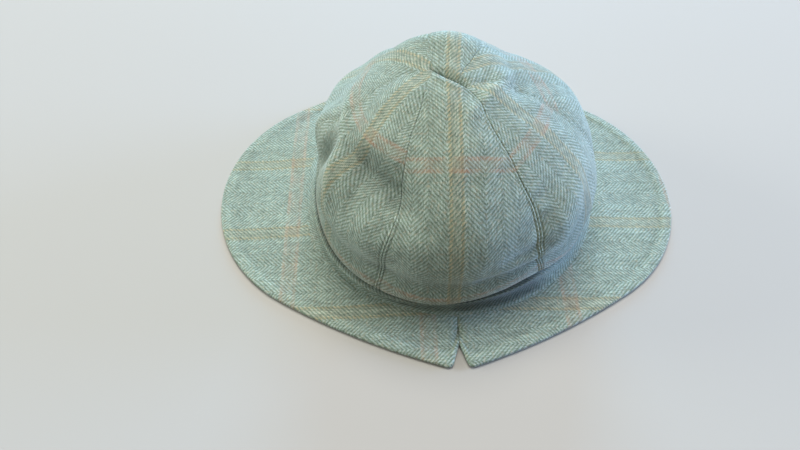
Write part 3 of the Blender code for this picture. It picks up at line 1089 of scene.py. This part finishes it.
def overcheck(g, uv, place, warp_shows, pairs, rust):
    """The colour of the two yarns, with ochre lines along the warp and rust ones across it."""
    warp_lines, warp_field = stripe_pair(g, place[0], WARP_CHECK, pairs[0], WARP_STRIPE)
    weft_lines, weft_field = stripe_pair(g, place[1], WEFT_CHECK, pairs[1], WEFT_STRIPE)
    line = g.math("MULTIPLY", warp_lines, OCHRE_LINE)
    ochre = g.math("MAXIMUM", line, g.math("MULTIPLY", warp_field, OCHRE_FIELD))
    warp_color = g.mix(ochre, PALE, OCHRE)
    broken = g.sway(g.noise(uv, BREAK_SCALE, 3.0), RUST_BREAKS, 0.5)
    weft_tint = g.math("MAXIMUM", weft_lines, g.math("MULTIPLY", weft_field, RUST_FIELD))
    weft_tint = g.math("MAXIMUM", g.math("MULTIPLY", weft_tint, broken), 0.0)
    weft_color = g.mix(g.math("MULTIPLY", weft_tint, rust), DARK, RUST)
    warp_color = g.mix(g.math("MULTIPLY", weft_tint, rust * RUST_ON_WARP), warp_color, RUST)
    color = g.mix(warp_shows, weft_color, warp_color)
    crossing = g.math("MULTIPLY", warp_field, weft_field)
    return g.mix(g.math("MULTIPLY", crossing, BROWN_CROSSING), color, BROWN)


def tweed_material(name, pairs=(0.0037, 0.0041), rust=0.50):
    """Herringbone tweed; pairs are the half gaps of the overcheck's warp and weft lines."""
    material, shader = new_material(name)
    g = Graph(material.node_tree)
    uv = g.node("ShaderNodeUVMap", uv_map="Weave").outputs["UV"]
    slub = g.noise(uv, SLUB_SCALE, 3.0, "Color")
    nudge = g.vector("SUBTRACT", {0: slub, 1: (0.5, 0.5, 0.5)})
    nudge = g.vector("SCALE", {0: nudge, "Scale": SLUB_NUDGE})
    parts = g.node("ShaderNodeSeparateXYZ", {0: g.vector("ADD", {0: uv, 1: nudge})})
    u = parts.outputs["X"]
    v = parts.outputs["Y"]

    # Yarns are counted along and across, and the twill turns at every column
    a = g.math("DIVIDE", u, YARN)
    b = g.math("DIVIDE", v, YARN)
    i = g.math("FLOOR", a)
    j = g.math("FLOOR", b)
    column = g.math("FLOOR", g.math("ADD", g.math("DIVIDE", u, COLUMN), 0.5))
    odd = g.math("FLOORED_MODULO", column, 2.0)
    side = g.math("SUBTRACT", 1.0, g.math("MULTIPLY", odd, 2.0))
    step = 2 * math.pi / TWILL
    warp_turn = g.math("SUBTRACT", b, g.math("MULTIPLY", side, i))
    warp_over = g.math("SINE", g.math("MULTIPLY", warp_turn, step))
    weft_turn = g.math("ADD", j, 0.5)
    weft_turn = g.math("SUBTRACT", weft_turn, g.math("MULTIPLY", side, g.math("SUBTRACT", a, 0.5)))
    weft_over = g.math("SINE", g.math("MULTIPLY", weft_turn, -step))
    warp_round = g.math("SINE", g.math("MULTIPLY", g.math("FRACT", a), math.pi))
    weft_round = g.math("SINE", g.math("MULTIPLY", g.math("FRACT", b), math.pi))
    warp_height = g.math("MULTIPLY", warp_round, g.math("MULTIPLY_ADD", warp_over, 0.5, 0.5))
    weft_height = g.math("MULTIPLY", weft_round, g.math("MULTIPLY_ADD", weft_over, 0.5, 0.5))

    # The yarn on top, with a hairy edge that changes from stitch to stitch
    stitch = g.math("FLOOR", g.math("MULTIPLY", warp_turn, 1 / TWILL))
    cell = g.node("ShaderNodeCombineXYZ", {"X": i, "Y": stitch}).outputs["Vector"]
    chance = g.chance("2D", {"Vector": cell})
    on_top = g.math("SUBTRACT", warp_height, weft_height)
    on_top = g.math("ADD", on_top, g.sway(g.noise(uv, FUZZ_SCALE), FUZZ_SWAY, 0.0))
    on_top = g.math("ADD", on_top, g.sway(chance, STITCH_SWAY, 0.0))
    warp_shows = g.stretch(on_top, -YARN_EDGE, YARN_EDGE)
    color = overcheck(g, uv, (u, v), warp_shows, pairs, rust)

    # Flecks and patches, and the painted shade and light, with the lighter rubbed rims, that the mesh
    # carries
    yarn = g.chance("1D", {"W": i})
    pick = g.chance("1D", {"W": j})
    of_yarn = g.node("ShaderNodeMix", {"Factor": warp_shows, "A": pick, "B": yarn}).outputs["Result"]
    fleck = g.noise(uv, FLECK_SCALE)
    cloud = g.noise(uv, CLOUD_SCALE, 3.0)
    warm = g.stretch(g.noise(uv, WARM_SCALE), WARM_FROM, WARM_TO)
    color = g.mix(g.math("MULTIPLY", warm, WARM_FLECKS), color, WARM)
    light = g.sway(of_yarn, YARN_LIGHT)
    for value, spread in ((chance, STITCH_LIGHT), (fleck, FLECK_LIGHT), (cloud, CLOUD_LIGHT)):
        light = g.math("MULTIPLY", light, g.sway(value, spread))
    # The painted shade and light carried by the mesh darken or lighten the colour
    relief = g.node("ShaderNodeAttribute", attribute_name="PaintedShadeAndWear").outputs["Fac"]
    light = g.math("MULTIPLY", light, g.math("MULTIPLY_ADD", relief, SHADE_AND_WEAR_LIGHT, 1.0))
    channels = {"Red": light, "Green": light, "Blue": light}
    shade = g.node("ShaderNodeCombineColor", channels).outputs["Color"]
    g.feed(shader.inputs["Base Color"], g.mix(1.0, color, shade, "MULTIPLY"))

    height = g.math("MAXIMUM", warp_height, weft_height)
    height = g.math("ADD", height, g.math("MULTIPLY", fleck, FLECK_BUMP))
    bump = g.node("ShaderNodeBump", {"Height": height, "Strength": 0.5, "Distance": CLOTH_BUMP})
    g.feed(shader.inputs["Normal"], bump.outputs["Normal"])
    g.feed(shader.inputs["Roughness"], g.sway(fleck, FLECK_ROUGH, CLOTH_ROUGH))
    shader.inputs["Metallic"].default_value = 0.0
    shader.inputs["Specular IOR Level"].default_value = 0.25
    shader.inputs["Sheen Weight"].default_value = 0.30
    shader.inputs["Sheen Roughness"].default_value = 0.45
    shader.inputs["Sheen Tint"].default_value = SHEEN
    material.diffuse_color = (0.36, 0.44, 0.37, 1.0)
    return material


def thread_material():
    material, shader = new_material("sewing_thread")
    g = Graph(material.node_tree)
    place = g.node("ShaderNodeTexCoord").outputs["Object"]
    twist = {"Vector": place, "Scale": THREAD_LAY_SCALE, "Distortion": 1.5}
    lay = g.node("ShaderNodeTexWave", twist, wave_type="BANDS").outputs["Fac"]
    fleck = g.noise(place, THREAD_FLECK_SCALE)
    g.feed(shader.inputs["Base Color"], g.mix(fleck, THREAD_DARK, THREAD_PALE))
    bump = g.node("ShaderNodeBump", {"Height": lay, "Strength": 0.4, "Distance": THREAD_BUMP})
    g.feed(shader.inputs["Normal"], bump.outputs["Normal"])
    shader.inputs["Roughness"].default_value = 0.6
    material.diffuse_color = (0.18, 0.23, 0.18, 1.0)
    return material


def floor_material():
    material, shader = new_material("pale_floor")
    shader.inputs["Base Color"].default_value = FLOOR_COLOR
    shader.inputs["Roughness"].default_value = 0.8
    return material


# Floor and lights: name, place, size, power and colour of each light
FLOOR_HALF = 3.0
FLOOR_DROP = 0.0001
LIGHTS = (
    ("key", (0.1, 1.4, 3.25), 2.6, 156.0, (1.0, 0.98, 0.94)),
    ("side", (3.0, 0.45, 0.4), 1.4, 165.0, (0.34, 0.54, 1.0)),
    ("back", (0.3, 3.2, 0.9), 1.4, 120.0, (0.28, 0.62, 1.0)),
    ("left", (-3.0, 0.7, 0.9), 1.4, 54.0, (0.94, 1.0, 0.93)),
)
WORLD_COLOR = (1.0, 0.98, 0.90, 1.0)
WORLD_STRENGTH = 0.335


def make_floor():
    mesh = bpy.data.meshes.new("floor")
    corners = ((-1, -1), (1, -1), (1, 1), (-1, 1))
    mesh.from_pydata([(x * FLOOR_HALF, y * FLOOR_HALF, 0.0) for x, y in corners], [], [(0, 1, 2, 3)])
    mesh.materials.append(floor_material())
    floor = add_object("floor", mesh)
    floor.location.z = -FLOOR_DROP


def make_lights():
    for name, place, size, power, color in LIGHTS:
        data = bpy.data.lights.new(name, "AREA")
        data.shape = "DISK"
        data.size = size
        data.energy = power
        data.color = color
        light = add_object(name, data)
        light.location = place
        light.rotation_euler = (-Vector(place)).to_track_quat("-Z", "Y").to_euler()
    world = bpy.data.worlds.new("studio")
    world.use_nodes = True
    sky = world.node_tree.nodes["Background"]
    sky.inputs["Color"].default_value = WORLD_COLOR
    sky.inputs["Strength"].default_value = WORLD_STRENGTH
    bpy.context.scene.world = world
    bpy.context.scene.view_settings.view_transform = "Standard"


def main():
    make_camera()
    crown_tweed = tweed_material("crown_tweed", pairs=(0.00325, 0.0034), rust=0.60)
    peak_tweed = tweed_material("peak_tweed")
    band_tweed = tweed_material("band_tweed", rust=0.15)
    thread = thread_material()
    gores = [make_gore(number, crown_tweed) for number in range(len(CROWN_SEAMS))]
    front = make_peak("front_brim", 1, peak_tweed, "front_peak")
    rear = make_peak("rear_brim", -1, peak_tweed, "rear_peak")
    band = make_band(band_tweed)
    make_crown_stitches(thread)
    band_row = make_hem_stitches(thread)
    make_floor()
    make_lights()


main()
